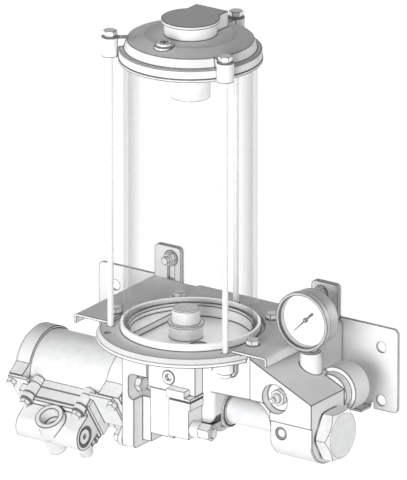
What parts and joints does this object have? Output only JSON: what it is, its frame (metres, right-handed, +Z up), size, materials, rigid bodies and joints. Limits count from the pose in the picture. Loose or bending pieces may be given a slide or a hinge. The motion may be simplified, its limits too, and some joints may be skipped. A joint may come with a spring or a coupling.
{
  "type": "grease pump",
  "caption": "Air-driven grease pump on a wall bracket, with a clear reservoir under a cast cap, a pressure gauge, an outlet block and a side-mounted air valve.",
  "frame": {"origin": "middle of the four wall holes, on the wall plate's back face", "axes": "+X along the pump tube from the air motor to the outlet block, +Y into the wall, +Z up"},
  "size_m": [0.3931, 0.2065, 0.4954],
  "materials": {
    "casting": "satin grey enamel",
    "machined": "machined",
    "sheet": "satin grey enamel",
    "wall_sheet": "satin light grey enamel",
    "steel": "zinc plated",
    "chrome": "polished",
    "brass": "satin",
    "copper": "satin copper",
    "rubber": "matte black",
    "clear": "clear acrylic",
    "lens": "clear",
    "dial": "matte white",
    "black": "matte black"
  },
  "bodies": {
    "pump": {"pump_base": "casting", "base_seal": "rubber", "reservoir_tube": "clear", "cap_seal": "rubber", "reservoir_cap": "casting", "vent_cap": "casting", "overflow_tube": "machined", "fill_plug": "steel", "tie_bolts": "steel", "tie_washers": "steel", "centre_post": "machined", "post_collar": "machined", "mounting_bracket": "sheet", "bracket_bolts": "steel", "wall_plate": "wall_sheet", "tab_studs": "steel", "tab_washers": "steel", "tab_nuts": "steel", "pump_tube": "steel", "tube_lock_ring": "rubber", "end_plug": "steel", "end_plug_washer": "copper", "outlet_cap": "casting", "block_plug": "steel", "grease_fitting": "brass", "gauge_case": "chrome", "gauge_bezel": "chrome", "gauge_dial": "dial", "gauge_lens": "lens", "gauge_movement": "brass", "gauge_stem": "steel", "manifold_block": "casting", "lower_block": "casting", "vent_valve": "machined", "vent_fitting": "steel", "manifold_plug": "steel", "flange_bolts": "steel", "adapter_nuts": "steel", "motor_adapter": "casting", "motor_cylinder": "casting", "motor_end_cap": "casting", "rod_gland": "brass", "valve_plate": "machined", "valve_housing": "casting", "spool_plugs": "black", "valve_bolts": "steel", "plate_bolts": "steel", "valve_gasket": "rubber"},
    "ram": {"motor_piston": "machined", "piston_nut": "steel", "piston_ring": "rubber", "drive_rod": "steel", "pump_plunger": "steel"},
    "pointer": {"gauge_pointer": "black"},
    "spool": {"valve_spool": "steel"}
  },
  "joints": [
    {"name": "ram_slide", "type": "slide", "parent": "pump", "child": "ram", "axis": [1, 0, 0], "range_m": [-0.03, 0.03]},
    {"name": "pointer_turn", "type": "hinge", "parent": "pump", "child": "pointer", "pos_m": [0.136, -0.086, 0.0806], "axis": [0, 1, 0], "range_deg": [0, 270], "stiffness_Nm_per_rad": 0.0002},
    {"name": "spool_shift", "type": "slide", "parent": "pump", "child": "spool", "axis": [1, 0, 0], "range_m": [-0.006, 0.006]}
  ]
}
